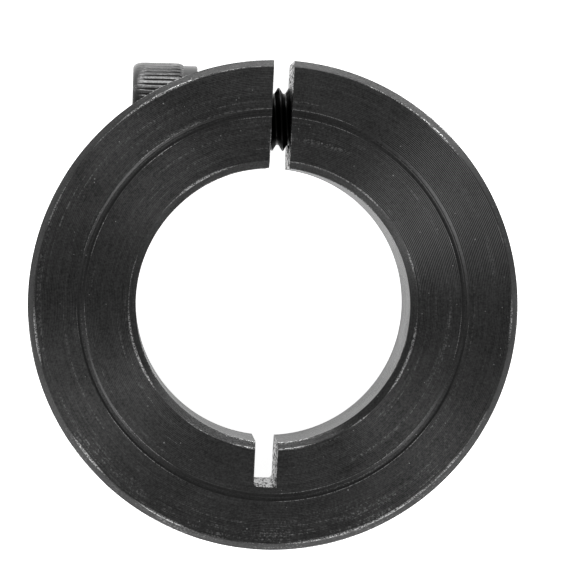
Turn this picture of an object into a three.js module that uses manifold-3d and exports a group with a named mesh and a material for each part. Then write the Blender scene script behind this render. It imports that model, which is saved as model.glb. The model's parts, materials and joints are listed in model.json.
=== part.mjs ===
// One-piece clamp collar for a 25 mm shaft, with its M6 socket head cap screw.
//
// The ring lies on its back face: +Z is the bore axis, the back face is z = 0 and the grooved front
// face is z = RING.width. The split that the screw closes is at +Y, the relief slot at -Y, and the
// clamp screw lies along X with its head on the -X side. All lengths are millimetres.
//
// The steel ring is one piece that bends at the thin web behind the relief slot. Here it is two half
// rings, the jaws, which hinge at the middle of that web and keep a narrow seam there.

import * as THREE from 'three';
import { mergeVertices } from 'three/addons/utils/BufferGeometryUtils.js';
import Module from 'manifold-3d';

const wasm = await Module();
wasm.setup();

// ---------------------------------------------------------------- driving dimensions

const RING = {
  outerRadius: 22.5,
  boreRadius: 12.6,
  width: 15,
  outerChamfer: 0.6,
  boreChamfer: 0.65,
  segments: 120,
};
const FACE_GROOVE = { radius: 17.66, width: 0.7, depth: 0.22 };
const SPLIT = { width: 1.86 };
const RELIEF_SLOT = { width: 2.08, floorRadius: 16.7, cornerRadius: 0.4 };
const WEB_SEAM = 0.3;

// The screw's own frame has its bearing face at z = 0, its head below it and its tip above. Its axis
// passes through axisPoint and is skewDegrees off square to the split, lower at the head.
const SCREW = {
  axisPoint: { x: -3.9, y: 17.1 },
  skewDegrees: 1.3,
  bearingFaceFromPoint: -3.85,
  length: 16,
  neckRadius: 2.6,
  neckLength: 0.9,
  tipChamfer: 0.65,
};
const HEAD = {
  radius: 5,
  height: 6,
  edgeRoundRadial: 0.6,
  edgeRoundAxial: 0.95,
  knurlTeeth: 56,
  knurlDepth: 0.16,
  bandRadius: 4.76,
  bandLength: 1.3,
};
const HEX_SOCKET = { acrossFlats: 5.05, depth: 3, mouthRadius: 3.1, mouthDepth: 0.3, drillPointDepth: 1.2 };
const THREAD = {
  pitch: 1,
  crestRadius: 2.95,
  rootRadius: 2.46,
  crestWidth: 0.125,
  // Where along the axis a crest crosses the screw frame's XZ plane.
  crestStart: -0.65,
  stepsPerTurn: 16,
};

// Running clearance of the tapped hole around the thread, which leaves room for the jaw's tilt.
const THREAD_CLEARANCE = { radial: 0.24, axial: 0.2 };
const HEAD_SEAT = { clearance: 0.15, counterboreRadius: 5.5, clearanceHoleRadius: 3.3, holeSegments: 48 };
const TAPPED_HOLE = { mouthRadius: 3.5, mouthDepth: 0.5 };

const TWO_PI = 2 * Math.PI;
// Half of a metric thread's 60 degree angle, as axial run per unit of radius.
const FLANK_SLOPE = Math.tan(THREE.MathUtils.degToRad(30));
const EDGE_ROUND_STEPS = 3;
const SLOT_CORNER_STEPS = 4;
const MERGE_DISTANCE = 1e-5;
// How far a cutting or joining solid runs past the surface it meets.
const CUT_MARGIN = 1;
const FAR = 2 * RING.outerRadius;

// ---------------------------------------------------------------- solids and meshes

function solidOf(geometry) {
  geometry.deleteAttribute('normal');
  geometry.deleteAttribute('uv');
  const merged = mergeVertices(geometry, MERGE_DISTANCE);
  return new wasm.Manifold(new wasm.Mesh({
    numProp: 3,
    vertProperties: new Float32Array(merged.attributes.position.array),
    triVerts: new Uint32Array(merged.index.array),
  }));
}

function meshOf(solid, name, material) {
  const { vertProperties, triVerts, numProp } = solid.getMesh();
  const positions = new Float32Array((vertProperties.length / numProp) * 3);
  for (let vertex = 0; vertex < positions.length / 3; vertex += 1) {
    positions.set(vertProperties.subarray(vertex * numProp, vertex * numProp + 3), vertex * 3);
  }
  const geometry = new THREE.BufferGeometry();
  geometry.setAttribute('position', new THREE.BufferAttribute(positions, 3));
  geometry.setIndex(new THREE.BufferAttribute(new Uint32Array(triVerts), 1));
  geometry.computeVertexNormals();
  const mesh = new THREE.Mesh(geometry, material);
  mesh.name = name;
  return mesh;
}

// A solid turned around Z from a closed outline of [radius, z] pairs, which runs anticlockwise.
function turned(outline, segments) {
  const points = outline.map(([radius, z]) => new THREE.Vector2(radius, z));
  if (outline[0][0] > 0 || outline.at(-1)[0] > 0) points.push(points[0].clone());
  return solidOf(new THREE.LatheGeometry(points, segments).rotateX(Math.PI / 2));
}

function extruded(shape, fromZ, toZ) {
  const options = { depth: toZ - fromZ, bevelEnabled: false, curveSegments: SLOT_CORNER_STEPS };
  return solidOf(new THREE.ExtrudeGeometry(shape, options).translate(0, 0, fromZ));
}

// ---------------------------------------------------------------- the screw's place in the ring

const skew = THREE.MathUtils.degToRad(SCREW.skewDegrees);
const screwPlace = new THREE.Object3D();
screwPlace.position.set(
  SCREW.axisPoint.x + SCREW.bearingFaceFromPoint * Math.cos(skew),
  SCREW.axisPoint.y + SCREW.bearingFaceFromPoint * Math.sin(skew),
  RING.width / 2,
);
screwPlace.rotation.set(0, Math.PI / 2, skew, 'ZYX');
screwPlace.updateMatrixWorld();

// How far along the screw's axis the plane at x lies from the bearing face.
function alongScrew(x) {
  return x - screwPlace.position.x;
}

function inScrewPlace(solid) {
  return solid.transform(screwPlace.matrixWorld.elements);
}

// ---------------------------------------------------------------- thread

// A threaded rod around Z. The outline of one pitch is crest, flank, root, flank, and each of its
// corners follows the right-hand helix, so the rod's surface is one strip that winds up the axis.
function threadedRod({ crestRadius, rootRadius, crestWidth, fromZ, toZ }) {
  const { pitch, stepsPerTurn, crestStart } = THREAD;
  const flank = (crestRadius - rootRadius) * FLANK_SLOPE;
  const corners = [
    [crestRadius, -crestWidth / 2],
    [crestRadius, crestWidth / 2],
    [rootRadius, crestWidth / 2 + flank],
    [rootRadius, pitch - crestWidth / 2 - flank],
  ];
  const firstTurn = Math.floor(fromZ / pitch) - 1;
  const turns = Math.ceil(toZ / pitch) + 1 - firstTurn;
  const columnLength = turns * corners.length;
  const positions = [];
  for (let step = 0; step < stepsPerTurn; step += 1) {
    const angle = (step / stepsPerTurn) * TWO_PI;
    for (let row = 0; row < columnLength; row += 1) {
      const [radius, offset] = corners[row % corners.length];
      const turn = firstTurn + Math.floor(row / corners.length) + step / stepsPerTurn;
      positions.push(radius * Math.cos(angle), radius * Math.sin(angle), turn * pitch + offset + crestStart);
    }
  }
  const lowEnd = positions.length / 3;
  positions.push(0, 0, (firstTurn - 1) * pitch);
  const highEnd = positions.length / 3;
  positions.push(0, 0, (firstTurn + turns + 1) * pitch);

  // After a whole turn the strip meets its first column one pitch higher.
  const at = (step, row) => {
    const wrapped = Math.floor(step / stepsPerTurn);
    return (step % stepsPerTurn) * columnLength + row + wrapped * corners.length;
  };
  const triangles = [];
  const lastRow = columnLength - 1;
  const lastStep = stepsPerTurn - 1;
  for (let step = 0; step < stepsPerTurn; step += 1) {
    const isLastStep = step === lastStep;
    const rows = isLastStep ? lastRow - corners.length : lastRow;
    for (let row = 0; row < rows; row += 1) {
      triangles.push(at(step, row), at(step + 1, row), at(step + 1, row + 1));
      triangles.push(at(step, row), at(step + 1, row + 1), at(step, row + 1));
    }
    triangles.push(lowEnd, at(step + 1, 0), at(step, 0));
    if (!isLastStep) triangles.push(highEnd, at(step, lastRow), at(step + 1, lastRow));
  }
  // Each end also closes along the column where the strip steps by one pitch.
  triangles.push(highEnd, at(lastStep, lastRow - corners.length), at(0, lastRow));
  for (let row = 0; row < corners.length; row += 1) {
    triangles.push(lowEnd, at(0, row), at(0, row + 1));
    triangles.push(highEnd, at(lastStep, lastRow - row), at(lastStep, lastRow - row - 1));
  }
  const geometry = new THREE.BufferGeometry();
  geometry.setAttribute('position', new THREE.Float32BufferAttribute(positions, 3));
  geometry.setIndex(triangles);
  return solidOf(geometry);
}

// ---------------------------------------------------------------- clamp screw

function knurledCylinder() {
  const { radius, height, knurlTeeth, knurlDepth, bandLength } = HEAD;
  const points = [];
  for (let corner = 0; corner < 2 * knurlTeeth; corner += 1) {
    const angle = (corner / (2 * knurlTeeth)) * TWO_PI;
    const reach = corner % 2 === 0 ? radius : radius - knurlDepth;
    points.push(new THREE.Vector2(reach * Math.cos(angle), reach * Math.sin(angle)));
  }
  return extruded(new THREE.Shape(points), -height, -bandLength);
}

function headEnvelope() {
  const { radius, height, edgeRoundRadial, edgeRoundAxial } = HEAD;
  const arcCentre = [radius - edgeRoundRadial, -height + edgeRoundAxial];
  const arc = new THREE.EllipseCurve(...arcCentre, edgeRoundRadial, edgeRoundAxial, -Math.PI / 2, 0);
  const roundedEdge = arc.getPoints(EDGE_ROUND_STEPS).map((point) => [point.x, point.y]);
  return turned([[0, -height], ...roundedEdge, [radius, 0], [0, 0]], HEAD.knurlTeeth);
}

function hexSocket() {
  const { acrossFlats, depth, mouthRadius, mouthDepth, drillPointDepth } = HEX_SOCKET;
  const cornerRadius = acrossFlats / Math.sqrt(3);
  const corners = Array.from({ length: 6 }, (_, corner) => {
    const angle = (corner / 6) * TWO_PI;
    return new THREE.Vector2(cornerRadius * Math.cos(angle), cornerRadius * Math.sin(angle));
  });
  const top = -HEAD.height;
  const prism = extruded(new THREE.Shape(corners), top - CUT_MARGIN, top + depth);
  const drillRadius = acrossFlats / 2;
  const drillPoint = turned([
    [0, top],
    [drillRadius, top],
    [drillRadius, top + depth],
    [0, top + depth + drillPointDepth],
  ], HEAD_SEAT.holeSegments);
  const mouth = turned([
    [0, top - CUT_MARGIN],
    [mouthRadius + CUT_MARGIN, top - CUT_MARGIN],
    [mouthRadius - mouthDepth, top + mouthDepth],
    [0, top + mouthDepth],
  ], HEAD_SEAT.holeSegments);
  return prism.add(drillPoint).add(mouth);
}

function shankEnvelope() {
  const { length, neckRadius, neckLength, tipChamfer } = SCREW;
  const { crestRadius } = THREAD;
  return turned([
    [0, -CUT_MARGIN],
    [neckRadius, -CUT_MARGIN],
    [neckRadius, neckLength],
    [crestRadius, neckLength + crestRadius - neckRadius],
    [crestRadius, length - tipChamfer],
    [crestRadius - tipChamfer, length],
    [0, length],
  ], 2 * THREAD.stepsPerTurn);
}

function clampScrew() {
  const band = turned([
    [0, -HEAD.bandLength - CUT_MARGIN],
    [HEAD.bandRadius, -HEAD.bandLength - CUT_MARGIN],
    [HEAD.bandRadius, 0],
    [0, 0],
  ], HEAD.knurlTeeth);
  const neck = turned([
    [0, -CUT_MARGIN],
    [SCREW.neckRadius, -CUT_MARGIN],
    [SCREW.neckRadius, SCREW.neckLength],
    [0, SCREW.neckLength],
  ], 2 * THREAD.stepsPerTurn);
  const head = knurledCylinder().intersect(headEnvelope()).add(band).subtract(hexSocket());
  const rod = threadedRod({ ...THREAD, fromZ: 0, toZ: SCREW.length });
  return head.add(neck).add(rod.intersect(shankEnvelope()));
}

// ---------------------------------------------------------------- ring

function wholeRing() {
  const { outerRadius, boreRadius, width, outerChamfer, boreChamfer, segments } = RING;
  const { radius, width: grooveWidth, depth } = FACE_GROOVE;
  return turned([
    [boreRadius + boreChamfer, 0],
    [outerRadius - outerChamfer, 0],
    [outerRadius, outerChamfer],
    [outerRadius, width - outerChamfer],
    [outerRadius - outerChamfer, width],
    [radius + grooveWidth / 2, width],
    [radius, width - depth],
    [radius - grooveWidth / 2, width],
    [boreRadius + boreChamfer, width],
    [boreRadius, width - boreChamfer],
    [boreRadius, boreChamfer],
  ], segments);
}

// What the saw takes away: the split at +Y, the relief slot at -Y, and the seam through the web.
function sawCuts() {
  const splitSide = SPLIT.width / 2;
  const slotSide = RELIEF_SLOT.width / 2;
  const seamSide = WEB_SEAM / 2;
  const floor = -RELIEF_SLOT.floorRadius;
  const corner = RELIEF_SLOT.cornerRadius;
  const outline = new THREE.Shape();
  outline.moveTo(-seamSide, -FAR);
  outline.lineTo(seamSide, -FAR);
  outline.lineTo(seamSide, floor);
  outline.lineTo(slotSide - corner, floor);
  outline.absarc(slotSide - corner, floor + corner, corner, -Math.PI / 2, 0, false);
  outline.lineTo(slotSide, 0);
  outline.lineTo(splitSide, 0);
  outline.lineTo(splitSide, FAR);
  outline.lineTo(-splitSide, FAR);
  outline.lineTo(-splitSide, 0);
  outline.lineTo(-slotSide, 0);
  outline.absarc(-slotSide + corner, floor + corner, corner, Math.PI, 1.5 * Math.PI, false);
  outline.lineTo(-seamSide, floor);
  return extruded(outline, -CUT_MARGIN, RING.width + CUT_MARGIN);
}

function sideBlock(side) {
  const block = new THREE.BoxGeometry(FAR, 2 * FAR, 2 * FAR);
  return solidOf(block.translate((side * FAR) / 2, 0, 0));
}

// Counterbore for the head and clearance hole for the shank, in the screw's frame.
function headSeat() {
  const { clearance, counterboreRadius, clearanceHoleRadius, holeSegments } = HEAD_SEAT;
  return turned([
    [0, -FAR],
    [counterboreRadius, -FAR],
    [counterboreRadius, clearance],
    [clearanceHoleRadius, clearance],
    [clearanceHoleRadius, SCREW.length],
    [0, SCREW.length],
  ], holeSegments);
}

// Through tapped hole with a countersunk mouth at the split, in the screw's frame.
function tappedHole() {
  const { radial, axial } = THREAD_CLEARANCE;
  const { mouthRadius, mouthDepth } = TAPPED_HOLE;
  const fromZ = 0;
  const toZ = alongScrew(RING.outerRadius);
  const crestRadius = THREAD.crestRadius + radial;
  const rootRadius = THREAD.rootRadius + radial;
  const crestWidth = THREAD.crestWidth + 2 * (axial - radial * FLANK_SLOPE);
  const thread = threadedRod({ crestRadius, rootRadius, crestWidth, fromZ, toZ });
  const mouthZ = alongScrew(SPLIT.width / 2);
  const mouth = turned([
    [0, mouthZ - CUT_MARGIN],
    [mouthRadius + CUT_MARGIN, mouthZ - CUT_MARGIN],
    [mouthRadius - mouthDepth, mouthZ + mouthDepth],
    [0, mouthZ + mouthDepth],
  ], HEAD_SEAT.holeSegments);
  return thread.add(mouth);
}

// ---------------------------------------------------------------- the assembly

const ringSteel = new THREE.MeshStandardMaterial({ color: 0x34363a, roughness: 0.42, metalness: 0.9 });
const jawSteel = ringSteel.clone();
const screwSteel = new THREE.MeshStandardMaterial({ color: 0x3a3c40, roughness: 0.36, metalness: 0.9 });

const sawnRing = wholeRing().subtract(sawCuts());
const tappedJaw = sawnRing.intersect(sideBlock(1)).subtract(inScrewPlace(tappedHole()));
const counterboredJaw = sawnRing.intersect(sideBlock(-1)).subtract(inScrewPlace(headSeat()));

const collar = new THREE.Group();
collar.name = 'shaft_collar';
collar.add(meshOf(counterboredJaw, 'collar_jaw_counterbored', ringSteel));
collar.add(meshOf(tappedJaw, 'collar_jaw_tapped', jawSteel));

const screw = meshOf(clampScrew(), 'clamp_screw', screwSteel);
screw.position.copy(screwPlace.position);
screw.rotation.copy(screwPlace.rotation);
collar.add(screw);

export default collar;
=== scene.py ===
"""Shaft collar: a one-piece clamp collar in black-oxide steel with its M6 socket head cap screw.

The CAD frame gives the outer size and the joints. The ring is one continuous mesh here, and the screw
is a second mesh. Lengths in the tables below are millimetres in the CAD frame; MM turns them into
Blender's metres.
"""
import json
import math

import bmesh
import bpy
import numpy as np
from mathutils import Matrix, Vector


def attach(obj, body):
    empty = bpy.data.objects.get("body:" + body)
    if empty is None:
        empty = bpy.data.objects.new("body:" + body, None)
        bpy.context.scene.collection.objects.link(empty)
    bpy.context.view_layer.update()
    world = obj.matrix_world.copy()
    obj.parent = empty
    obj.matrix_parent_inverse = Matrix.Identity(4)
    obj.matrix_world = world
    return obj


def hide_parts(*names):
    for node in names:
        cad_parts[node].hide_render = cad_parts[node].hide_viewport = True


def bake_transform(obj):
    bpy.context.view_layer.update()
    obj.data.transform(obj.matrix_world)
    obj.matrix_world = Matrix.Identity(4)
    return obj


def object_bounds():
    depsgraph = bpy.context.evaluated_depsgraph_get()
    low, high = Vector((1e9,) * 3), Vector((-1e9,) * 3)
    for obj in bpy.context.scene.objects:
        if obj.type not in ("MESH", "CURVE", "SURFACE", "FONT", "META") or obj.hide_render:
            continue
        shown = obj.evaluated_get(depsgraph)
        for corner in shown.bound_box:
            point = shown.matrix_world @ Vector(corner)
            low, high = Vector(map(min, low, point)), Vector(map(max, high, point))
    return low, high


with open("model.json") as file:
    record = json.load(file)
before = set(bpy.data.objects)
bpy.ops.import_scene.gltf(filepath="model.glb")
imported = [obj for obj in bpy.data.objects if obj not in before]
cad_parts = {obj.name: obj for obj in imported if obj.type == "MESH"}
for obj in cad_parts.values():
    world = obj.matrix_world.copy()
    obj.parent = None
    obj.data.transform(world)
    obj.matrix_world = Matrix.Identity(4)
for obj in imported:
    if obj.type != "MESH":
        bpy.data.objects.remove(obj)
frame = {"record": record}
cad_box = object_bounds()

MM = 0.001
TWO_PI = 2 * math.pi

# ------------------------------------------------------------------------ sizes from the CAD frame

WIDTH = round(cad_box[1][2] / MM, 3)
OUTER_RADIUS = round(-cad_box[0][1] / MM, 2)
MID_Z = WIDTH / 2
JOINTS = {joint["name"]: joint for joint in frame["record"]["behaviour"]["joints"]}
SCREW_JOINT = JOINTS["screw_turn"]
SCREW_AXIS = Vector(SCREW_JOINT["axis"]).normalized()
SKEW = math.atan2(SCREW_AXIS.y, SCREW_AXIS.x)

# ------------------------------------------------------------------------ ring, in millimetres

BORE_RADIUS = 12.6
OUTER_CHAMFER = 0.6
BORE_CHAMFER = 0.65
GROOVE_RADIUS = 17.66
GROOVE_WIDTH = 0.68
GROOVE_FLOOR = 0.26
GROOVE_DEPTH = 0.085
# The groove's walls start at these places in the ring's outline.
GROOVE_WALLS = (1, 3)
# Half the width of the split and of the slot.
SPLIT_SIDE = 0.93
SLOT_SIDE = 1.04
SLOT_FLOOR = 16.7
SLOT_CORNER = 0.4
HALF_RING_STEPS = 180
WEB_CORNER_STEPS = 5
WEB_FLOOR_STEPS = 4
EDGE_BREAK = 0.06
SHARP_EDGE = math.radians(24)
RING_SMOOTH_DEGREES = 20

# ------------------------------------------------------------------------ screw, in millimetres

HEAD_HEIGHT = 6.0
HEAD_RADIUS = 5.0
SCREW_LENGTH = 16.0
# The face under the head lies this far back along the axis from the place of the screw's joint.
JOINT_TO_BEARING_FACE = 3.85
BEARING_FACE = Vector(SCREW_JOINT["pos_m"]) / MM - JOINT_TO_BEARING_FACE * SCREW_AXIS
SEAT_GAP = 0.05
# Outer edge of the head's flat end, where the socket's mouth is cut.
HEAD_END_RADIUS = 3.4
HEAD_ROUND_RADIAL = 0.5
HEAD_ROUND_AXIAL = 0.95
HEAD_ROUND_STEPS = 8
KNURL_TEETH = 56
KNURL_DEPTH = 0.12
KNURL_SAMPLES = 10
# Share of a tooth's pitch that its valley takes.
VALLEY_SHARE = 0.34
BAND_RADIUS = 4.78
BAND_LENGTH = 1.3
BAND_CHAMFER = 0.14
KNURL_RUNOUT = 0.42
FILLET = 0.35
SOCKET_FLATS = 5.05
SOCKET_DEPTH = 3.0
SOCKET_MOUTH_RADIUS = 3.1
SOCKET_MOUTH_DEPTH = 0.42
DRILL_POINT_DEPTH = 1.3
DRILL_POINT_RADIUS = 0.05
PITCH = 1.0
CREST_START = -0.4
CREST_RADIUS = 2.95
ROOT_RADIUS = 2.42
CREST_WIDTH = 0.12
THREAD_ROUNDING = 0.03
NECK_RADIUS = 2.55
NECK_LENGTH = 1.0
TIP_CHAMFER = 0.65
THREAD_STEPS = 64
SCREW_SMOOTH_DEGREES = 38

# ------------------------------------------------------------------------ screw holes, in millimetres

COUNTERBORE_RADIUS = 5.5
CLEARANCE_RADIUS = 3.3
# Both ends of the clearance hole are broken by this much, at 45 degrees.
HOLE_CHAMFER = 0.2
TAP_CLEARANCE = 0.24
TAP_CREST_WIDTH = 0.17
TAP_ROUNDING = 0.02
# The tapped hole's countersink: how far it goes past the crests at the wall, and how deep.
TAP_MOUTH_OVER_CREST = 0.25
TAP_MOUTH_DEPTH = 0.55
HOLE_STEPS = 128
CUT_MARGIN = 1.0
# A cutter on the skewed axis ends this far out in the split, so that its whole rim clears the wall.
PAST_WALL = 0.5

# ------------------------------------------------------------------------ material patterns
#
# Every pattern reads the attribute rest_position, a point's place at rest in millimetres, so it
# doesn't slide over the steel when the screw turns.


class Graph:
    """One material's node tree. Each method adds nodes and returns their output socket."""

    def __init__(self, name):
        self.material = bpy.data.materials.new(name)
        self.material.use_nodes = True
        self.tree = self.material.node_tree
        self.shader = self.tree.nodes["Principled BSDF"]
        self.shader.inputs["Metallic"].default_value = 1

    def add(self, kind, *values, **settings):
        """Adds a node, with values or links for its first inputs and its settings by name."""
        node = self.tree.nodes.new(kind)
        for setting, value in settings.items():
            setattr(node, setting, value)
        for value, socket in zip(values, node.inputs):
            self.join(value, socket)
        return node

    def join(self, value, socket):
        """Links an output to the socket, or sets the socket to a constant."""
        if value is None:
            return
        if isinstance(value, bpy.types.NodeSocket):
            self.tree.links.new(value, socket)
        else:
            socket.default_value = value

    def math(self, operation, *values):
        return self.add("ShaderNodeMath", *values, operation=operation).outputs[0]

    def scaled(self, value, factor, offset=0.0):
        return self.math("MULTIPLY_ADD", value, factor, offset)

    def product(self, first, *others):
        for other in others:
            first = self.math("MULTIPLY", first, other)
        return first

    def total(self, start, *parts):
        """start, plus each pattern times its weight."""
        for pattern, weight in parts:
            start = self.math("MULTIPLY_ADD", pattern, weight, start)
        return start

    def rest_position(self):
        return self.add("ShaderNodeAttribute", attribute_name="rest_position").outputs["Vector"]

    def place(self):
        """The x, y and z of the rest position in the CAD frame."""
        return self.add("ShaderNodeSeparateXYZ", self.rest_position()).outputs[:]

    def place_on_screw(self):
        """The x, y and z of the rest position in the screw's frame, where x runs along its axis."""
        moved = self.add("ShaderNodeVectorMath", self.rest_position(), tuple(BEARING_FACE),
                         operation="SUBTRACT").outputs[0]
        turned_back = self.add("ShaderNodeVectorRotate", moved, None, None, -SKEW, rotation_type="Z_AXIS")
        return self.add("ShaderNodeSeparateXYZ", turned_back.outputs[0]).outputs[:]

    def vector(self, x, y, z):
        return self.add("ShaderNodeCombineXYZ", x, y, z).outputs[0]

    def noise(self, vector, scale=1.0, detail=2.0, roughness=0.5, along=None):
        """Noise from 0 to 1. A fourth coordinate, along, is added where it is given."""
        node = self.add("ShaderNodeTexNoise", noise_dimensions="3D" if along is None else "4D")
        self.join(vector, node.inputs["Vector"])
        if along is not None:
            self.join(along, node.inputs["W"])
        node.inputs["Scale"].default_value = scale
        node.inputs["Detail"].default_value = detail
        node.inputs["Roughness"].default_value = roughness
        return node.outputs["Fac"]

    def ramp(self, value, low, high, to_low=0.0, to_high=1.0):
        """A smooth step from to_low at low to to_high at high."""
        node = self.add("ShaderNodeMapRange", value, low, high, to_low, to_high)
        node.interpolation_type = "SMOOTHSTEP"
        return node.outputs[0]

    def mix(self, factor, first, second):
        """The first colour where the factor is 0, the second where it is 1."""
        node = self.add("ShaderNodeMix", data_type="RGBA")
        sockets = [socket for socket in node.inputs if socket.type == "RGBA"]
        self.join(factor, node.inputs[0])
        for value, socket in zip((first, second), sockets):
            self.join(value, socket)
        return [socket for socket in node.outputs if socket.type == "RGBA"][0]

    def bump(self, height, depth, normal=None):
        """Bump from a height of 0 to 1, depth millimetres deep."""
        node = self.add("ShaderNodeBump")
        node.inputs["Strength"].default_value = 1
        node.inputs["Distance"].default_value = depth * MM
        self.join(height, node.inputs["Height"])
        self.join(normal, node.inputs["Normal"])
        return node.outputs[0]

    def bared_and_glinted(self, colour, *patches):
        """The colour mixed towards bare steel, from pairs of a pattern and its strength: bare steel showing
        through, and a painted glint on the feed marks' crests.
        """
        for pattern, strength in patches:
            colour = self.mix(self.scaled(pattern, strength), colour, BARE_STEEL_AND_GLINT)
        return colour

    def finish(self, colour, roughness, normal):
        self.join(colour, self.shader.inputs["Base Color"])
        self.join(roughness, self.shader.inputs["Roughness"])
        self.join(normal, self.shader.inputs["Normal"])
        return self.material


def grey(value):
    return (value, value, value, 1)


# Base colours of the steel. The oxide's tone goes from dark at 0 to light at 1.
OXIDE_DARK = grey(0.02)
OXIDE_LIGHT = grey(0.065)
# A darker oxide for the screw's shank and thread than for its head.
SHANK_OXIDE = grey(0.008)
# Bare steel, also the colour of the painted glints on the feed marks.
BARE_STEEL_AND_GLINT = grey(0.55)
# How much light the oxide on the rim gives back at a glancing angle.
RIM_GLANCE = grey(0.2)
# The lathe's feed a turn, in millimetres, and the direction of the face's highlight, where its marks get
# painted glints.
FEED = 0.152
GLINT_SIDE = math.radians(33)
GLINT_FROM = 0.88
# The scuffs near the rim lie between these radii, and grow from the first y to the second.
SCUFF_RADII = (18.6, 21.8)
SCUFF_Y = (-7, -18)
# The rim's finish fades in over these distances inside the outer radius.
RIM_FADE = (0.12, 0.02)
# The rim's, the bore's and the groove's edges are rubbed less: this is added to their distances.
CHAMFER_EDGE_OFFSET = 0.03
GROOVE_EDGE_OFFSET = 0.09
# Centre of the slitting saw's arcs, as y and z.
SAW_CENTRE = (-30.0, 30.0)


def polar(graph, across, up):
    """Radius, and the cosine and sine of the angle, of a point given by two coordinates."""
    square = graph.math("ADD", graph.product(across, across), graph.product(up, up))
    radius = graph.math("SQRT", square)
    return radius, graph.math("DIVIDE", across, radius), graph.math("DIVIDE", up, radius)


def turning_lines(graph, radius, cosine, sine, along, spacing, reach, detail):
    """Lines about spacing mm apart that run round the axis; a larger reach breaks them up sooner."""
    vector = graph.vector(graph.scaled(radius, 1 / spacing), graph.scaled(cosine, reach),
                          graph.scaled(sine, reach))
    return graph.noise(vector, detail=detail, roughness=0.6, along=graph.scaled(along, 1 / spacing))


def painted_glint_side(graph, cosine, sine):
    """1 on the side of the ring where the face's highlight lies, where the feed marks get painted glints
    and painted contrast.
    """
    towards = graph.math("ADD", graph.scaled(cosine, math.cos(GLINT_SIDE)),
                         graph.scaled(sine, math.sin(GLINT_SIDE)))
    return graph.ramp(towards, GLINT_FROM, 1)


def edge_distance(graph, first, second, first_edge, second_edge):
    """Distance in mm to an edge, from a point given by two coordinates."""
    across = graph.math("POWER", graph.scaled(first, 1, -first_edge), 2)
    up = graph.math("POWER", graph.scaled(second, 1, -second_edge), 2)
    return graph.math("SQRT", graph.math("ADD", across, up))


def nearest(graph, distances):
    """The smallest of several distances."""
    closest = distances[0]
    for distance in distances[1:]:
        closest = graph.math("MINIMUM", closest, distance)
    return closest


def ring_edges(graph, x, y, z, radius):
    """Distance in mm to the ring's turned edges and to its sawn ones."""
    height = graph.math("ABSOLUTE", graph.scaled(z, 1, -MID_Z))
    side = graph.math("ABSOLUTE", x)
    face_edge = edge_distance(graph, radius, height, OUTER_RADIUS - OUTER_CHAMFER, MID_Z)
    bore_face_edge = edge_distance(graph, radius, height, BORE_RADIUS + BORE_CHAMFER, MID_Z)
    rim_edge = edge_distance(graph, radius, height, OUTER_RADIUS, MID_Z - OUTER_CHAMFER)
    bore_edge = edge_distance(graph, radius, height, BORE_RADIUS, MID_Z - BORE_CHAMFER)
    groove_inner_edge = edge_distance(graph, radius, z, GROOVE_RADIUS - GROOVE_WIDTH / 2, WIDTH)
    groove_outer_edge = edge_distance(graph, radius, z, GROOVE_RADIUS + GROOVE_WIDTH / 2, WIDTH)
    turned_edges = [
        face_edge,
        bore_face_edge,
        graph.scaled(rim_edge, 1, CHAMFER_EDGE_OFFSET),
        graph.scaled(bore_edge, 1, CHAMFER_EDGE_OFFSET),
        graph.scaled(groove_inner_edge, 1, GROOVE_EDGE_OFFSET),
        graph.scaled(groove_outer_edge, 1, GROOVE_EDGE_OFFSET),
    ]
    above = graph.ramp(y, -0.1, 0.1)
    cut_side = graph.scaled(above, SPLIT_SIDE - SLOT_SIDE, SLOT_SIDE)
    from_cut = graph.math("ABSOLUTE", graph.math("SUBTRACT", side, cut_side))
    from_face = graph.math("ABSOLUTE", graph.scaled(height, 1, -MID_Z))
    below_slot = graph.math("MAXIMUM", graph.scaled(y, -1, -SLOT_FLOOR), 0)
    sawn_edge = graph.math("ADD", graph.math("MAXIMUM", from_cut, from_face), below_slot)
    return nearest(graph, turned_edges), sawn_edge


def edge_wear(graph, distance, coordinates, reach, patch_scale, share):
    """1 where an edge is rubbed bare: broken lines of changing width. A larger share wears more."""
    patches = graph.noise(coordinates, scale=patch_scale, detail=1)
    crumbs = graph.noise(coordinates, scale=7, detail=2, roughness=0.7)
    worn = graph.ramp(patches, 0.58 - share, 0.78 - share)
    broken = graph.ramp(crumbs, 0.40, 0.62)
    width = graph.scaled(worn, reach, 0.012)
    near = graph.math("SUBTRACT", 1, graph.ramp(graph.math("DIVIDE", distance, width), 0.35, 1.0))
    return graph.product(near, worn, broken)


def specks(graph, coordinates, cells_per_mm, size, share):
    """Small round spots, one at most in each Voronoi cell, in the given share of the cells."""
    node = graph.add("ShaderNodeTexVoronoi", coordinates)
    node.inputs["Scale"].default_value = cells_per_mm
    chosen = graph.ramp(graph.add("ShaderNodeSeparateXYZ", node.outputs["Color"]).outputs[0],
                        1 - share - 0.01, 1 - share + 0.01)
    return graph.math("MULTIPLY", chosen, graph.ramp(node.outputs["Distance"], size, size * 0.5))


# ------------------------------------------------------------------------ materials


def feed_marks(graph, radius, cosine, sine, z, spot):
    """The lathe's feed marks from -1 to 1, the side of the face's highlight, and painted glints on their
    crests there.
    """
    wave = graph.math("SINE", graph.scaled(graph.math("ADD", radius, z), TWO_PI / FEED))
    strength = graph.ramp(graph.noise(spot, scale=0.16, detail=1), 0.35, 0.65, 0.3, 0.9)
    highlight_side = painted_glint_side(graph, cosine, sine)
    crests = graph.product(graph.ramp(wave, 0.1, 0.9), highlight_side)
    return graph.product(wave, strength), highlight_side, crests


def rim_scuffs(graph, radius, y, on_rim, blotches, fine_lines, grain):
    """Short scuffs on the faces near the rim, on the slot's side of the ring."""
    near_rim = graph.math("SUBTRACT", graph.ramp(radius, *SCUFF_RADII), on_rim)
    patch = graph.product(near_rim, graph.ramp(y, *SCUFF_Y), graph.ramp(blotches, 0.4, 0.55))
    return graph.product(patch, graph.ramp(fine_lines, 0.5, 0.62), graph.ramp(grain, 0.5, 0.64))


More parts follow.
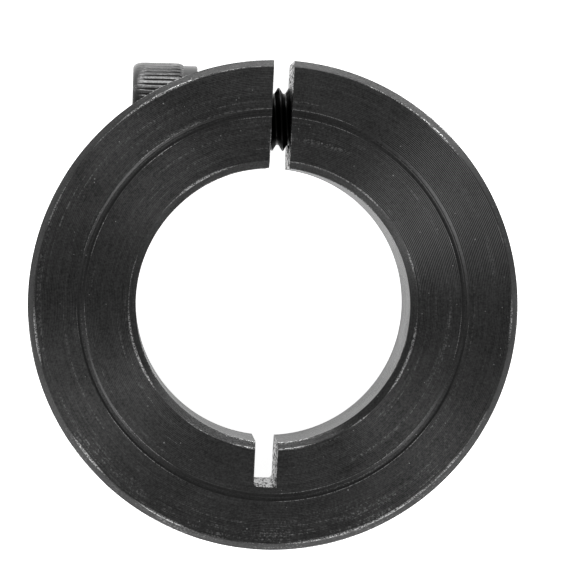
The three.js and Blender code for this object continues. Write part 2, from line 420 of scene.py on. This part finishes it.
def round_the_axis(graph):
    """Stretches the reflections across the turning marks, as on turned metal."""
    graph.shader.inputs["Anisotropic"].default_value = 0.86
    graph.shader.inputs["Anisotropic Rotation"].default_value = 0.25
    tangent = graph.add("ShaderNodeTangent", direction_type="RADIAL", axis="Z").outputs[0]
    graph.join(tangent, graph.shader.inputs["Tangent"])


def turned_steel():
    """Black oxide over turning marks: the faces, chamfers, rim, bore and groove floor of the ring."""
    graph = Graph("turned_steel")
    x, y, z = graph.place()
    radius, cosine, sine = polar(graph, x, y)
    spot = graph.vector(x, y, z)

    lines = turning_lines(graph, radius, cosine, sine, z, spacing=0.33, reach=1.3, detail=3)
    fine_lines = turning_lines(graph, radius, cosine, sine, z, spacing=0.13, reach=4, detail=2)
    feed, highlight_side, painted_feed_glints = feed_marks(graph, radius, cosine, sine, z, spot)
    grain = graph.noise(spot, scale=5.5, detail=3, roughness=0.65)
    blotches = graph.noise(spot, scale=0.23, detail=3, roughness=0.55)

    in_bore = graph.ramp(radius, BORE_RADIUS + 0.1, BORE_RADIUS + 0.02)
    on_rim = graph.ramp(radius, *(OUTER_RADIUS - inside for inside in RIM_FADE))
    on_chamfer = graph.product(graph.ramp(radius, OUTER_RADIUS - OUTER_CHAMFER, OUTER_RADIUS - 0.5),
                               graph.ramp(radius, OUTER_RADIUS - 0.01, OUTER_RADIUS - 0.06))

    turned_edge, sawn_edge = ring_edges(graph, x, y, z, radius)
    turned_wear = edge_wear(graph, turned_edge, spot, reach=0.17, patch_scale=0.13, share=0.2)
    sawn_wear = edge_wear(graph, sawn_edge, spot, reach=0.08, patch_scale=0.3, share=0.05)
    wear = graph.math("MAXIMUM", turned_wear, sawn_wear)
    small_specks = specks(graph, spot, cells_per_mm=0.75, size=0.07, share=0.35)
    fine_specks = specks(graph, spot, cells_per_mm=1.9, size=0.12, share=0.12)
    spots = graph.math("MAXIMUM", small_specks, fine_specks)
    scuffs = graph.product(graph.ramp(lines, 0.58, 0.7), graph.ramp(grain, 0.48, 0.62))
    low_scuffs = rim_scuffs(graph, radius, y, on_rim, blotches, fine_lines, grain)

    # The start brings the mean of all these patterns to a middle tone.
    # The feed marks count for more in the tone on the highlight's side: painted contrast for the glints
    # there, over the marks' own tone.
    tone = graph.total(-1.32, (blotches, 0.7), (grain, 1.7), (lines, 0.55), (fine_lines, 0.7),
                       (feed, graph.scaled(highlight_side, 0.9, 0.2)))
    colour = graph.mix(tone, OXIDE_DARK, OXIDE_LIGHT)
    # The feed marks' crests on the highlight's side are lightened towards bare steel as a painted glint;
    # the other patches are bare steel showing through.
    colour = graph.bared_and_glinted(colour, (on_chamfer, 0.035), (painted_feed_glints, 0.13), (scuffs, 0.14),
                         (low_scuffs, 0.28), (spots, 0.35), (wear, 0.8))
    roughness = graph.total(0.31, (blotches, 0.1), (fine_lines, 0.16), (wear, -0.1), (in_bore, -0.16),
                            (on_rim, 0.15))
    graph.join(graph.mix(on_rim, grey(1), RIM_GLANCE), graph.shader.inputs["Specular Tint"])
    height = graph.total(0, (feed, 0.35), (lines, 1), (fine_lines, 0.5))
    normal = graph.bump(grain, 0.011, graph.bump(height, 0.014))
    round_the_axis(graph)
    return graph.finish(colour, roughness, normal)


def grooved_steel():
    """Walls of the face groove, smoother than the face because the tool's nose cut them."""
    graph = Graph("grooved_steel")
    x, y, z = graph.place()
    radius, cosine, sine = polar(graph, x, y)
    spot = graph.vector(x, y, z)
    lines = turning_lines(graph, radius, cosine, sine, z, spacing=0.08, reach=2, detail=2)
    grain = graph.noise(spot, scale=5, detail=3, roughness=0.6)
    turned_edge, _ = ring_edges(graph, x, y, z, radius)
    wear = edge_wear(graph, turned_edge, spot, reach=0.12, patch_scale=0.13, share=0)
    tone = graph.total(-0.4, (lines, 0.5), (grain, 0.7))
    colour = graph.bared_and_glinted(graph.mix(tone, OXIDE_DARK, OXIDE_LIGHT), (wear, 0.5))
    roughness = graph.total(0.19, (grain, 0.16), (lines, 0.1))
    normal = graph.bump(grain, 0.004, graph.bump(lines, 0.006))
    return graph.finish(colour, roughness, normal)


def sawn_steel():
    """Walls of the split and of the relief slot, with the slitting saw's wide arcs across them."""
    graph = Graph("sawn_steel")
    x, y, z = graph.place()
    radius, _, _ = polar(graph, x, y)
    spot = graph.vector(x, y, z)
    saw_radius, _, _ = polar(graph, graph.scaled(y, 1, -SAW_CENTRE[0]), graph.scaled(z, 1, -SAW_CENTRE[1]))
    arcs = graph.vector(graph.scaled(saw_radius, 6), graph.scaled(x, 2), graph.scaled(z, 0.06))
    marks = graph.noise(arcs, detail=3, roughness=0.65)
    grain = graph.noise(spot, scale=5.5, detail=3, roughness=0.6)
    blotches = graph.noise(spot, scale=0.7, detail=2)
    through = graph.vector(x, y, graph.scaled(z, 0.14))
    torn = graph.ramp(graph.noise(through, scale=3.2, detail=3, roughness=0.7), 0.46, 0.62)
    turned_edge, sawn_edge = ring_edges(graph, x, y, z, radius)
    edge = graph.math("MINIMUM", sawn_edge, turned_edge)
    wear = edge_wear(graph, edge, spot, reach=0.1, patch_scale=0.3, share=0.05)
    tone = graph.total(-0.2, (marks, 0.7), (blotches, 0.6))
    colour = graph.bared_and_glinted(graph.mix(tone, OXIDE_DARK, OXIDE_LIGHT), (wear, 0.7))
    roughness = graph.total(0.14, (marks, 0.14), (torn, 0.42))
    normal = graph.bump(torn, 0.01, graph.bump(grain, 0.02, graph.bump(marks, 0.02)))
    return graph.finish(colour, roughness, normal)


def drilled_steel():
    """Counterbore, clearance hole and tapped hole, with the tool's marks round the screw's axis."""
    graph = Graph("drilled_steel")
    x, y, z = graph.place_on_screw()
    radius, cosine, sine = polar(graph, y, z)
    spot = graph.vector(x, y, z)
    lines = turning_lines(graph, radius, cosine, sine, x, spacing=0.3, reach=1.5, detail=3)
    grain = graph.noise(spot, scale=4, detail=3)
    colour = graph.mix(graph.scaled(lines, 1.2, -0.3), OXIDE_DARK, OXIDE_LIGHT)
    roughness = graph.scaled(grain, 0.2, 0.3)
    normal = graph.bump(grain, 0.005, graph.bump(lines, 0.015))
    return graph.finish(colour, roughness, normal)


def screw_steel():
    """Black oxide alloy steel: rolled knurl with rubbed ridges, forged socket and rolled thread."""
    graph = Graph("screw_steel")
    x, y, z = graph.place_on_screw()
    radius, cosine, sine = polar(graph, y, z)
    spot = graph.vector(x, y, z)
    lines = turning_lines(graph, radius, cosine, sine, x, spacing=0.25, reach=2, detail=2)
    grain = graph.noise(spot, scale=6, detail=3, roughness=0.6)
    blotches = graph.noise(spot, scale=0.5, detail=2)
    end_edge = edge_distance(graph, radius, x, HEAD_RADIUS - 0.18, 0.24 - HEAD_HEIGHT)
    wear = edge_wear(graph, end_edge, spot, reach=0.3, patch_scale=0.5, share=0.1)
    on_head = graph.ramp(x, 0.1, -0.1)
    on_shank = graph.ramp(x, 0.1, 0.5)
    on_ridges = graph.ramp(radius, HEAD_RADIUS - 0.05, HEAD_RADIUS)
    rubbed = graph.product(on_ridges, on_head, graph.ramp(grain, 0.35, 0.7))
    tone = graph.total(0, (blotches, 0.6), (lines, 0.4))
    colour = graph.mix(tone, OXIDE_DARK, OXIDE_LIGHT)
    colour = graph.mix(on_shank, colour, SHANK_OXIDE)
    colour = graph.bared_and_glinted(colour, (rubbed, 0.1), (wear, 0.3))
    roughness = graph.total(0.19, (blotches, 0.14), (grain, 0.1))
    normal = graph.bump(grain, 0.006, graph.bump(lines, 0.006))
    return graph.finish(colour, roughness, normal)


# A face's finish is its place in this list. Cutters carry DRILLED into the ring they cut.
FINISHES = [turned_steel(), sawn_steel(), drilled_steel(), grooved_steel()]
TURNED, SAWN, DRILLED, GROOVED = range(len(FINISHES))

# ------------------------------------------------------------------------ mesh helpers


def new_piece(name, points, faces, finishes=None):
    """A mesh object from points in millimetres, with a finish for each face."""
    mesh = bpy.data.meshes.new(name)
    mesh.from_pydata((np.asarray(points, float) * MM).tolist(), [], faces)
    for material in FINISHES:
        mesh.materials.append(material)
    mesh.polygons.foreach_set("material_index", finishes or [DRILLED] * len(faces))
    piece = bpy.data.objects.new(name, mesh)
    bpy.context.scene.collection.objects.link(piece)
    return piece


def boolean(piece, tool, operation):
    """Joins, cuts or intersects piece with tool, and removes tool."""
    modifier = piece.modifiers.new(operation, "BOOLEAN")
    modifier.operation = operation
    modifier.solver = "MANIFOLD"
    modifier.object = tool
    depsgraph = bpy.context.evaluated_depsgraph_get()
    result = bpy.data.meshes.new_from_object(piece.evaluated_get(depsgraph))
    piece.modifiers.clear()
    piece.data = result
    bpy.data.objects.remove(tool)


def turned(name, outline, steps=HOLE_STEPS):
    """A closed solid turned around local X from [x, radius] pairs that start and end on the axis."""
    inner = outline[1:-1]
    points = [(outline[0][0], 0, 0)]
    for x, radius in inner:
        for step in range(steps):
            angle = TWO_PI * step / steps
            points.append((x, radius * math.cos(angle), radius * math.sin(angle)))
    points.append((outline[-1][0], 0, 0))
    last = len(points) - 1
    faces = []
    for step in range(steps):
        beside = (step + 1) % steps
        faces.append((0, 1 + beside, 1 + step))
        for row in range(len(inner) - 1):
            low = 1 + row * steps
            high = low + steps
            faces.append((low + step, low + beside, high + beside, high + step))
        base = 1 + (len(inner) - 1) * steps
        faces.append((base + step, base + beside, last))
    return new_piece(name, points, faces)


def place_on_screw_axis(piece):
    """Moves a mesh from the screw's frame, where the bearing face is x = 0, to its place in the ring."""
    piece.data.transform(Matrix.Translation(BEARING_FACE * MM) @ Matrix.Rotation(SKEW, 4, "Z"))


def break_edges(piece, width, segments=2):
    """Rounds every sharp edge of a mesh by width millimetres."""
    mesh = bmesh.new()
    mesh.from_mesh(piece.data)
    edges = [edge for edge in mesh.edges if edge.calc_face_angle(0) > SHARP_EDGE]
    bmesh.ops.bevel(
        mesh,
        geom=edges,
        offset=width * MM,
        offset_type="OFFSET",
        segments=segments,
        profile=0.5,
        affect="EDGES",
        clamp_overlap=True,
    )
    mesh.to_mesh(piece.data)
    mesh.free()


def smooth_shading(piece, sharp_degrees):
    """Shades a mesh smooth, except at edges sharper than this angle."""
    piece.data.shade_smooth()
    piece.data.set_sharp_from_angle(angle=math.radians(sharp_degrees))
    weighted = piece.modifiers.new("normals", "WEIGHTED_NORMAL")
    weighted.keep_sharp = True


def keep_rest_position(piece):
    """Stores each point's place in millimetres, for the materials' patterns."""
    mesh = piece.data
    places = np.empty(3 * len(mesh.vertices), np.float32)
    mesh.vertices.foreach_get("co", places)
    attribute = mesh.attributes.new("rest_position", "FLOAT_VECTOR", "POINT")
    attribute.data.foreach_set("vector", places / MM)


# ------------------------------------------------------------------------ ring mesh


def ring_outline():
    """The ring's section as [radius, z] pairs, and how many of them run on through the web.

    It starts on the front face at the slot's corner, goes out over the groove, down the rim and in
    along the back face to the slot's corner, and comes back through the bore.
    """
    corner_radius = math.hypot(SLOT_SIDE, SLOT_FLOOR - SLOT_CORNER)
    groove_in = GROOVE_RADIUS - GROOVE_WIDTH / 2
    groove_out = GROOVE_RADIUS + GROOVE_WIDTH / 2
    face_out = OUTER_RADIUS - OUTER_CHAMFER
    through_web = [
        (corner_radius, WIDTH),
        (groove_in, WIDTH),
        (GROOVE_RADIUS - GROOVE_FLOOR / 2, WIDTH - GROOVE_DEPTH),
        (GROOVE_RADIUS + GROOVE_FLOOR / 2, WIDTH - GROOVE_DEPTH),
        (groove_out, WIDTH),
        (face_out, WIDTH),
        (OUTER_RADIUS, WIDTH - OUTER_CHAMFER),
        (OUTER_RADIUS, OUTER_CHAMFER),
        (face_out, 0),
        (groove_out, 0),
        (corner_radius, 0),
    ]
    around_bore = [
        (BORE_RADIUS + BORE_CHAMFER, 0),
        (BORE_RADIUS, BORE_CHAMFER),
        (BORE_RADIUS, WIDTH - BORE_CHAMFER),
        (BORE_RADIUS + BORE_CHAMFER, WIDTH),
    ]
    return through_web + around_bore, len(through_web)


def half_ring_sections(outline):
    """Sections from the split wall to the slot wall on the +X side, angles measured from +Y."""
    sections = []
    for step in range(HALF_RING_STEPS + 1):
        part = step / HALF_RING_STEPS
        section = []
        for radius, z in outline:
            start = math.asin(SPLIT_SIDE / radius)
            end = math.pi - math.asin(SLOT_SIDE / radius)
            angle = start + (end - start) * part
            section.append((radius * math.sin(angle), radius * math.cos(angle), z))
        sections.append(section)
    return sections


def slot_floor_line():
    """Points [x, distance from the axis] along the slot's floor, from its +X wall to its -X wall."""
    corner_x = SLOT_SIDE - SLOT_CORNER
    corner_y = SLOT_FLOOR - SLOT_CORNER
    line = []
    for step in range(1, WEB_CORNER_STEPS + 1):
        angle = math.pi / 2 * step / WEB_CORNER_STEPS
        line.append((corner_x + SLOT_CORNER * math.cos(angle), corner_y + SLOT_CORNER * math.sin(angle)))
    flat = [(corner_x * (1 - 2 * step / WEB_FLOOR_STEPS), SLOT_FLOOR) for step in range(1, WEB_FLOOR_STEPS)]
    return line + flat + [(-x, y) for x, y in reversed(line)]


def web_sections(outline, kept):
    """Sections between the two slot walls, from +X to -X, without the end ones."""
    floor_line = slot_floor_line()
    sections = []
    for number, (inner_x, inner_y) in enumerate(floor_line, start=1):
        outer_x = SLOT_SIDE * (1 - 2 * number / (len(floor_line) + 1))
        section = []
        for position, (radius, z) in enumerate(outline[:kept]):
            if position in (0, kept - 1):
                section.append((inner_x, -inner_y, z))
            else:
                section.append((outer_x, -math.sqrt(radius ** 2 - outer_x ** 2), z))
        sections.append(section)
    return sections


def ring_mesh():
    """The whole ring: right half, web and left half, with one face closing each sawn wall."""
    outline, kept = ring_outline()
    right = half_ring_sections(outline)
    web = web_sections(outline, kept)
    left = [[(-x, y, z) for x, y, z in section] for section in reversed(right)]
    points = []
    rows = []
    for section in right + web + left:
        rows.append(len(points))
        points += section
    full = len(outline)
    faces = []
    finishes = []
    for number in range(len(rows) - 1):
        near, far = rows[number], rows[number + 1]
        through_web = len(right) - 1 <= number < len(right) + len(web)
        count = kept if through_web else full
        for position in range(count):
            beside = (position + 1) % count
            faces.append((near + position, near + beside, far + beside, far + position))
            if through_web and position == kept - 1:
                finishes.append(SAWN)
            elif position in GROOVE_WALLS:
                finishes.append(GROOVED)
            else:
                finishes.append(TURNED)
    faces.append(tuple(rows[0] + position for position in reversed(range(full))))
    faces.append(tuple(rows[-1] + position for position in range(full)))
    for row, turn in ((rows[len(right) - 1], 1), (rows[len(right) + len(web)], -1)):
        wall = [row + kept - 1] + [row + position for position in range(kept, full)] + [row]
        faces.append(tuple(wall[::turn]))
    finishes += [SAWN] * (len(faces) - len(finishes))
    return new_piece("collar_ring", points, faces, finishes)


# ------------------------------------------------------------------------ thread and screw mesh


def threaded_rod(name, corners, from_x, to_x, steps=THREAD_STEPS):
    """A right-hand threaded rod around local X from the [radius, offset] corners of one pitch."""
    first = math.floor(from_x / PITCH) - 1
    turns = math.ceil(to_x / PITCH) + 1 - first
    across = len(corners)
    column = turns * across
    points = []
    for step in range(steps):
        angle = TWO_PI * step / steps
        for row in range(column):
            radius, offset = corners[row % across]
            x = (first + row // across + step / steps) * PITCH + offset + CREST_START
            points.append((x, radius * math.cos(angle), radius * math.sin(angle)))
    low_end = len(points)
    points.append(((first - 1) * PITCH, 0, 0))
    high_end = len(points)
    points.append(((first + turns + 1) * PITCH, 0, 0))

    def at(step, row):
        # After a whole turn the strip meets its first column one pitch along.
        return (step % steps) * column + row + (step // steps) * across

    faces = []
    last_row = column - 1
    for step in range(steps):
        last_step = step == steps - 1
        for row in range(last_row - across if last_step else last_row):
            faces.append((at(step, row), at(step + 1, row), at(step + 1, row + 1), at(step, row + 1)))
        faces.append((low_end, at(step + 1, 0), at(step, 0)))
        if not last_step:
            faces.append((high_end, at(step, last_row), at(step + 1, last_row)))
    faces.append((high_end, at(steps - 1, last_row - across), at(0, last_row)))
    for row in range(across):
        faces.append((low_end, at(0, row), at(0, row + 1)))
        faces.append((high_end, at(steps - 1, last_row - row), at(steps - 1, last_row - row - 1)))
    return new_piece(name, points, faces)


def thread_corners(crest, root, crest_width, round_over):
    """One pitch of a 60 degree thread: rounded crest, flank, rounded root, flank."""
    flank = (crest - root) * math.tan(math.radians(30))
    half = crest_width / 2
    root_start = half + flank
    root_end = PITCH - half - flank
    root_middle = (root_start + root_end) / 2
    return [
        (crest - round_over, -half - round_over / 2),
        (crest, -half),
        (crest, half),
        (crest - round_over, half + round_over / 2),
        (root + round_over, root_start - round_over / 2),
        (root, root_start + round_over),
        (root - round_over / 2, root_middle),
        (root, root_end - round_over),
        (root + round_over, root_end + round_over / 2),
    ]


def knurl_valley(angle):
    """Rolled straight knurl: 0 on the flat topped ridges, 1 at the bottom of the V valleys between them."""
    across = (angle * KNURL_TEETH / TWO_PI) % 1
    from_valley = abs(across - 0.5) * 2
    return max(0.0, 1 - from_valley / VALLEY_SHARE) ** 0.8


def head_rows():
    """[x, radius, valley depth] rows from the head's outer end to the neck, x from the bearing face."""
    rows = [(-HEAD_HEIGHT, HEAD_END_RADIUS, 0)]
    for step in range(HEAD_ROUND_STEPS + 1):
        angle = math.pi / 2 * step / HEAD_ROUND_STEPS
        along = HEAD_ROUND_AXIAL * (1 - math.cos(angle))
        radius = HEAD_RADIUS - HEAD_ROUND_RADIAL * (1 - math.sin(angle))
        rows.append((along - HEAD_HEIGHT, radius, 0.35 * KNURL_DEPTH * (along / HEAD_ROUND_AXIAL) ** 2))
    knurl_start = HEAD_ROUND_AXIAL - HEAD_HEIGHT
    knurl_end = -BAND_LENGTH - KNURL_RUNOUT
    rows += [
        # The knurl deepens towards the band.
        (knurl_start + 0.25, HEAD_RADIUS, KNURL_DEPTH * 0.5),
        (knurl_start + 0.5, HEAD_RADIUS, KNURL_DEPTH * 0.6),
        (knurl_end - 0.9, HEAD_RADIUS, KNURL_DEPTH * 0.75),
        (knurl_end - 0.15, HEAD_RADIUS, KNURL_DEPTH),
        # It runs out down to the band.
        (knurl_end, HEAD_RADIUS - 0.015, KNURL_DEPTH),
        (knurl_end + KNURL_RUNOUT * 0.5, HEAD_RADIUS - 0.09, KNURL_DEPTH * 0.6),
        (-BAND_LENGTH - 0.05, HEAD_RADIUS - 0.17, 0.05),
        (-BAND_LENGTH, BAND_RADIUS, 0),
        (-BAND_LENGTH * 0.5, BAND_RADIUS, 0),
        (-BAND_CHAMFER, BAND_RADIUS, 0),
        (-0.05, BAND_RADIUS - 0.04, 0),
        (0, BAND_RADIUS - BAND_CHAMFER, 0),
        # Bearing face, then the fillet down to the neck.
        (0, NECK_RADIUS + FILLET, 0),
        (0.1, NECK_RADIUS + 0.12, 0),
        (FILLET, NECK_RADIUS, 0),
        (NECK_LENGTH, NECK_RADIUS, 0),
    ]
    return rows


def head_mesh():
    """The knurled head and the neck under it, before the socket is cut."""
    rows = head_rows()
    columns = KNURL_TEETH * KNURL_SAMPLES
    points = [(-HEAD_HEIGHT, 0, 0)]
    for x, crest, depth in rows:
        for column in range(columns):
            angle = TWO_PI * column / columns
            radius = crest - depth * knurl_valley(angle)
            points.append((x, radius * math.cos(angle), radius * math.sin(angle)))
    points.append((rows[-1][0], 0, 0))
    last = len(points) - 1
    faces = []
    for column in range(columns):
        beside = (column + 1) % columns
        faces.append((0, 1 + beside, 1 + column))
        for row in range(len(rows) - 1):
            low = 1 + row * columns
            high = low + columns
            faces.append((low + column, low + beside, high + beside, high + column))
        base = 1 + (len(rows) - 1) * columns
        faces.append((base + column, base + beside, last))
    return new_piece("socket_head_screw", points, faces)


def hex_prism():
    """Cutter for the hexagon socket, from outside the head to the socket's floor."""
    radius = SOCKET_FLATS / math.sqrt(3)
    points = []
    for x in (-HEAD_HEIGHT - CUT_MARGIN, -HEAD_HEIGHT + SOCKET_DEPTH):
        for corner in range(6):
            angle = TWO_PI * corner / 6
            points.append((x, radius * math.cos(angle), radius * math.sin(angle)))
    faces = [(5, 4, 3, 2, 1, 0), (6, 7, 8, 9, 10, 11)]
    for corner in range(6):
        beside = (corner + 1) % 6
        faces.append((corner, beside, 6 + beside, 6 + corner))
    return new_piece("hex_cutter", points, faces)


def cut_socket(screw):
    """Hexagon socket with its countersunk mouth and the drill point at its bottom."""
    top = -HEAD_HEIGHT
    bottom = top + SOCKET_DEPTH
    drill_radius = SOCKET_FLATS / 2
    boolean(screw, hex_prism(), "DIFFERENCE")
    boolean(screw, turned("mouth", [
        (top - CUT_MARGIN, 0),
        (top - CUT_MARGIN, SOCKET_MOUTH_RADIUS + CUT_MARGIN),
        (top + SOCKET_MOUTH_DEPTH, SOCKET_MOUTH_RADIUS - SOCKET_MOUTH_DEPTH),
        (top + SOCKET_MOUTH_DEPTH, 0),
    ]), "DIFFERENCE")
    boolean(screw, turned("drill", [
        (top - CUT_MARGIN, 0),
        (top - CUT_MARGIN, drill_radius),
        (bottom, drill_radius),
        (bottom + DRILL_POINT_DEPTH, DRILL_POINT_RADIUS),
        (bottom + DRILL_POINT_DEPTH + 0.03, 0),
    ]), "DIFFERENCE")


def add_thread(screw):
    """Joins the thread to the neck. Its envelope starts inside the neck and ends in the tip's chamfer."""
    corners = thread_corners(CREST_RADIUS, ROOT_RADIUS, CREST_WIDTH, THREAD_ROUNDING)
    rod = threaded_rod("rod", corners, 0, SCREW_LENGTH)
    inside_neck = NECK_RADIUS - 0.05
    thread_start = NECK_LENGTH - 0.05 + CREST_RADIUS - NECK_RADIUS
    over_crests = CREST_RADIUS + 0.01
    boolean(rod, turned("envelope", [
        (FILLET + 0.05, 0),
        (FILLET + 0.05, inside_neck),
        (NECK_LENGTH - 0.1, inside_neck),
        (thread_start, over_crests),
        (SCREW_LENGTH - TIP_CHAMFER, over_crests),
        (SCREW_LENGTH, CREST_RADIUS - TIP_CHAMFER),
        (SCREW_LENGTH, 0),
    ]), "INTERSECT")
    boolean(screw, rod, "UNION")


def screw_mesh():
    """The screw in its place in the ring: head, socket and thread."""
    screw = head_mesh()
    cut_socket(screw)
    add_thread(screw)
    place_on_screw_axis(screw)
    return screw


def drill_ring(ring):
    """Counterbore and clearance hole in one jaw, through tapped hole in the other."""
    left_wall = -SPLIT_SIDE - BEARING_FACE.x
    right_wall = SPLIT_SIDE - BEARING_FACE.x
    far = OUTER_RADIUS - BEARING_FACE.x
    counterbore = turned("counterbore", [
        (-far, 0),
        (-far, COUNTERBORE_RADIUS),
        (SEAT_GAP, COUNTERBORE_RADIUS),
        (SEAT_GAP, CLEARANCE_RADIUS + HOLE_CHAMFER),
        (SEAT_GAP + HOLE_CHAMFER, CLEARANCE_RADIUS),
        (left_wall - HOLE_CHAMFER, CLEARANCE_RADIUS),
        (left_wall + PAST_WALL, CLEARANCE_RADIUS + HOLE_CHAMFER + PAST_WALL),
        (left_wall + PAST_WALL, 0),
    ])
    corners = thread_corners(CREST_RADIUS + TAP_CLEARANCE, ROOT_RADIUS + TAP_CLEARANCE,
                             TAP_CREST_WIDTH, TAP_ROUNDING)
    tap = threaded_rod("tap", corners, 0, far)
    # The tap's end lies inside the countersink, which opens the hole past the wall.
    tap_start = right_wall - 0.05
    boolean(tap, turned("limit", [
        (tap_start, 0),
        (tap_start, CREST_RADIUS + CUT_MARGIN),
        (far, CREST_RADIUS + CUT_MARGIN),
        (far, 0),
    ]), "INTERSECT")
    mouth_radius = CREST_RADIUS + TAP_MOUTH_OVER_CREST
    mouth = turned("mouth", [
        (right_wall - PAST_WALL, 0),
        (right_wall - PAST_WALL, mouth_radius + PAST_WALL),
        (right_wall + TAP_MOUTH_DEPTH, mouth_radius - TAP_MOUTH_DEPTH),
        (right_wall + TAP_MOUTH_DEPTH, 0),
    ])
    for cutter in (counterbore, tap, mouth):
        place_on_screw_axis(cutter)
        boolean(ring, cutter, "DIFFERENCE")


ring = ring_mesh()
break_edges(ring, EDGE_BREAK)
drill_ring(ring)
smooth_shading(ring, RING_SMOOTH_DEGREES)
keep_rest_position(ring)

screw = screw_mesh()
smooth_shading(screw, SCREW_SMOOTH_DEGREES)
keep_rest_position(screw)
screw.data.materials.clear()
screw.data.materials.append(screw_steel())
screw.data.polygons.foreach_set("material_index", [0] * len(screw.data.polygons))

# ------------------------------------------------------------------------ bodies

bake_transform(ring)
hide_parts("collar_jaw_counterbored", "collar_jaw_tapped")
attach(screw, "screw")
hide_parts("clamp_screw")

# ------------------------------------------------------------------------ floor, light and camera

# Half the floor's side, in metres.
FLOOR_HALF = 3.0
# Just under the collar, so that the back face and the floor don't share a plane.
FLOOR_LEVEL = -0.02 * MM
FLOOR_PAINT = grey(0.9)
FLOOR_ROUGHNESS = 0.9
FLOOR_GLOW = 0.95
WORLD_AT_HORIZON = 1.05
WORLD_AT_ZENITH = 0.35
# The world fades from one to the other between these heights of the direction's z.
WORLD_FADE = (0.15, 0.85)


def floor():
    """A white sheet lit from below, like a light table."""
    mesh = bpy.data.meshes.new("floor")
    half = FLOOR_HALF
    corners = [(-half, -half), (half, -half), (half, half), (-half, half)]
    mesh.from_pydata([(x, y, FLOOR_LEVEL) for x, y in corners], [], [(0, 1, 2, 3)])
    piece = bpy.data.objects.new("floor", mesh)
    bpy.context.scene.collection.objects.link(piece)
    material = bpy.data.materials.new("light_table")
    material.use_nodes = True
    shader = material.node_tree.nodes["Principled BSDF"]
    shader.inputs["Base Color"].default_value = FLOOR_PAINT
    shader.inputs["Roughness"].default_value = FLOOR_ROUGHNESS
    shader.inputs["Specular IOR Level"].default_value = 0
    shader.inputs["Emission Color"].default_value = grey(1)
    shader.inputs["Emission Strength"].default_value = FLOOR_GLOW
    mesh.materials.append(material)


def softbox(name, azimuth, elevation, distance, width, height, radiance):
    """A rectangular light aimed at the collar; azimuth is measured from +X, in degrees."""
    turn = math.radians(azimuth)
    rise = math.radians(elevation)
    outward = Vector((math.cos(rise) * math.cos(turn), math.cos(rise) * math.sin(turn), math.sin(rise)))
    light = bpy.data.lights.new(name, "AREA")
    light.shape = "RECTANGLE"
    light.size = width
    light.size_y = height
    light.energy = radiance * math.pi * width * height
    lamp = bpy.data.objects.new(name, light)
    lamp.location = outward * distance + Vector((0, 0, WIDTH * MM))
    lamp.rotation_euler = outward.to_track_quat("Z", "Y").to_euler()
    lamp.visible_camera = False
    bpy.context.scene.collection.objects.link(lamp)


def studio_world():
    """White all round, and dimmer overhead."""
    world = bpy.data.worlds.new("studio")
    world.use_nodes = True
    tree = world.node_tree
    direction = tree.nodes.new("ShaderNodeTexCoord")
    split = tree.nodes.new("ShaderNodeSeparateXYZ")
    fade = tree.nodes.new("ShaderNodeMapRange")
    fade.interpolation_type = "SMOOTHSTEP"
    for socket, value in zip(fade.inputs[1:5], (*WORLD_FADE, WORLD_AT_HORIZON, WORLD_AT_ZENITH)):
        socket.default_value = value
    tree.links.new(direction.outputs["Generated"], split.inputs[0])
    tree.links.new(split.outputs["Z"], fade.inputs[0])
    background = tree.nodes["Background"]
    background.inputs["Color"].default_value = grey(1)
    tree.links.new(fade.outputs[0], background.inputs["Strength"])
    bpy.context.scene.world = world


# Camera: distance in metres, lens and sensor in millimetres, direction from the collar to the camera,
# the point of the front face that it looks at in millimetres, and how far it is rolled.
VIEW_DISTANCE = 0.415
VIEW_LENS = 283
VIEW_SENSOR = 36
VIEW_BACK = (-0.03396, 0.01784, 1)
VIEW_TARGET = (1.27, 1.65)
VIEW_ROLL = math.radians(2.66)
VIEW_CLIP = (0.01, 20)


def add_camera():
    """Looks down on the front face from almost straight above, with a long lens."""
    camera = bpy.data.cameras.new("camera")
    camera.lens = VIEW_LENS
    camera.sensor_width = VIEW_SENSOR
    camera.clip_start, camera.clip_end = VIEW_CLIP
    item = bpy.data.objects.new("camera", camera)
    back = Vector(VIEW_BACK).normalized()
    up = Vector((-math.sin(VIEW_ROLL), math.cos(VIEW_ROLL), 0))
    right = up.cross(back).normalized()
    up = back.cross(right)
    target = Vector((VIEW_TARGET[0] * MM, VIEW_TARGET[1] * MM, WIDTH * MM))
    rotation = Matrix((right, up, back)).transposed().to_4x4()
    item.matrix_world = Matrix.Translation(target + back * VIEW_DISTANCE) @ rotation
    bpy.context.scene.collection.objects.link(item)
    bpy.context.scene.camera = item


floor()
softbox("far_light", azimuth=76, elevation=9, distance=0.5, width=0.9, height=0.16, radiance=10)
softbox("near_light", azimuth=268, elevation=8, distance=0.5, width=0.8, height=0.12, radiance=4)
softbox("lower_left_light", azimuth=215, elevation=50, distance=0.8, width=0.2, height=0.32, radiance=10)
softbox("lower_right_light", azimuth=320, elevation=50, distance=0.8, width=0.2, height=0.32, radiance=9)
studio_world()
bpy.context.scene.view_settings.view_transform = "Standard"
add_camera()

bpy.context.view_layer.update()
